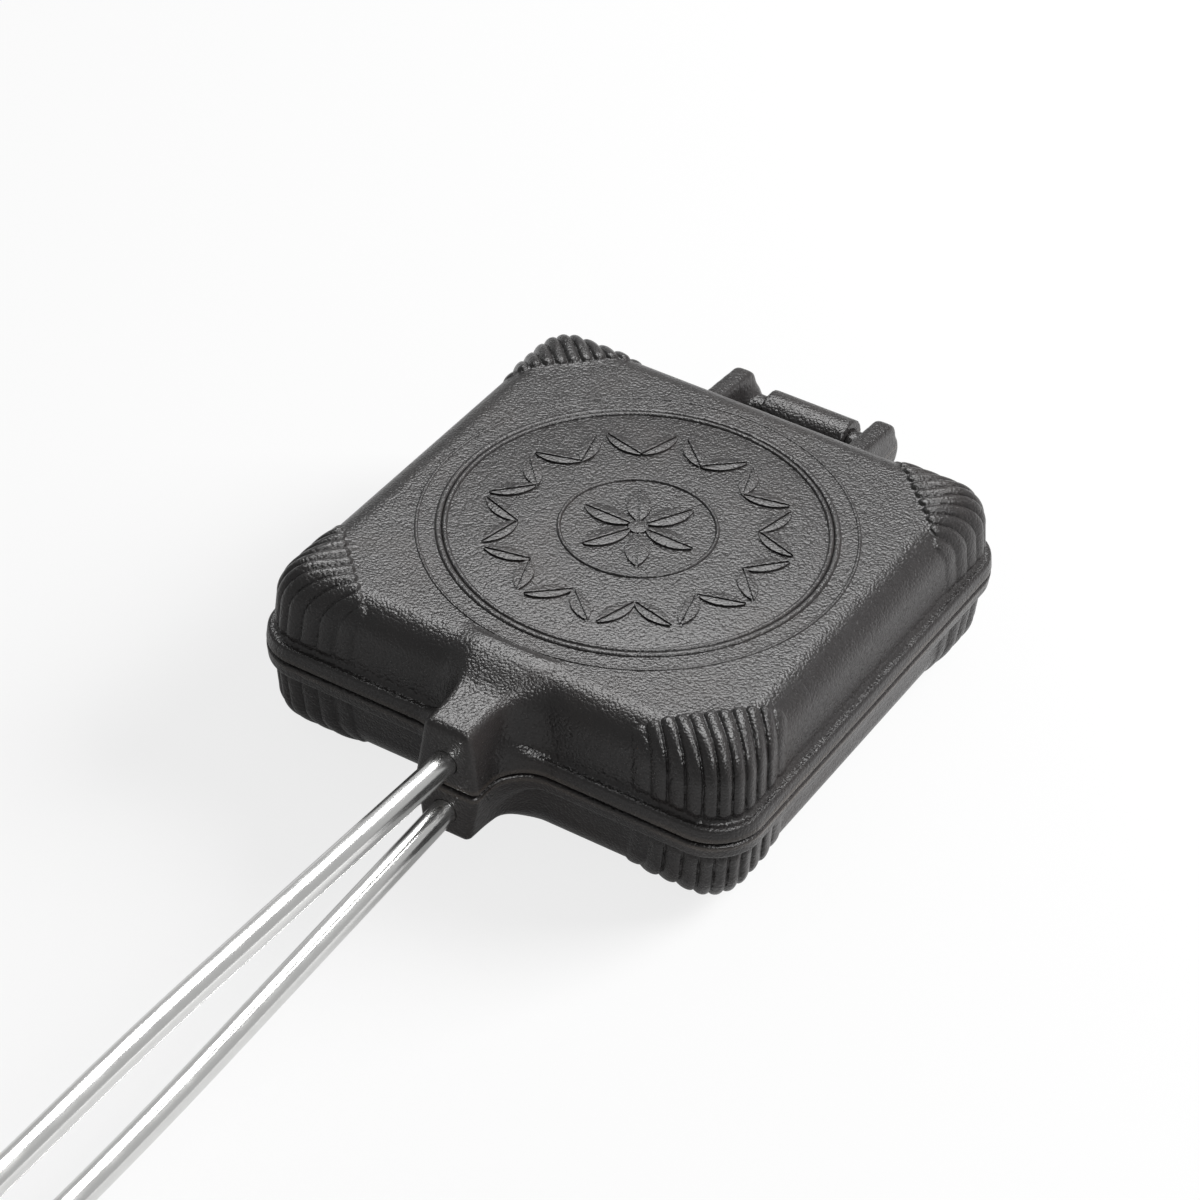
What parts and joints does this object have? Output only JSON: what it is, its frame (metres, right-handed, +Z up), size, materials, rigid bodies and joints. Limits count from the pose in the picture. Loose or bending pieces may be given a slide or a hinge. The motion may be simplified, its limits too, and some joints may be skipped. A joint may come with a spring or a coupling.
{
  "type": "pie iron",
  "caption": "Long-handled campfire pie iron: two square hinged cast-iron plates on parallel steel rods with wooden grips, a swinging latch and a hanging ring.",
  "frame": {"origin": "centre of the lower plate's flat underside", "axes": "+Z up through the closed plates, +Y towards the hinge, handles along -Y"},
  "size_m": [0.135, 0.7099, 0.0508],
  "materials": {
    "cast_iron": "seasoned sand-cast black, satin",
    "rod_steel": "bright drawn steel",
    "ferrule_steel": "turned steel",
    "fitting_steel": "zinc-bright steel",
    "grip_wood": "oiled beech"
  },
  "bodies": {
    "lower": {"lower_plate": "cast_iron", "lower_rod": "rod_steel", "lower_ferrule": "ferrule_steel", "lower_grip": "grip_wood", "lower_washer": "fitting_steel", "cap_nut": "fitting_steel", "latch_stop": "fitting_steel"},
    "upper": {"upper_plate": "cast_iron", "upper_rod": "rod_steel", "upper_ferrule": "ferrule_steel", "upper_grip": "grip_wood", "upper_washer": "fitting_steel", "hanging_eye": "fitting_steel"},
    "latch": {"latch_hook": "fitting_steel"},
    "ring": {"hanging_ring": "fitting_steel"}
  },
  "joints": [
    {"name": "plate_hinge", "type": "hinge", "parent": "lower", "child": "upper", "pos_m": [0, 0.085, 0.022], "axis": [-1, 0, 0], "range_deg": [0, 120]},
    {"name": "latch_swing", "type": "hinge", "parent": "lower", "child": "latch", "pos_m": [0, -0.46585, 0.0086], "axis": [0, 1, 0], "range_deg": [0, 80]},
    {"name": "ring_swing", "type": "hinge", "parent": "upper", "child": "ring", "pos_m": [0, -0.6125, 0.0342], "axis": [-1, 0, 0], "range_deg": [-4, 150]}
  ]
}
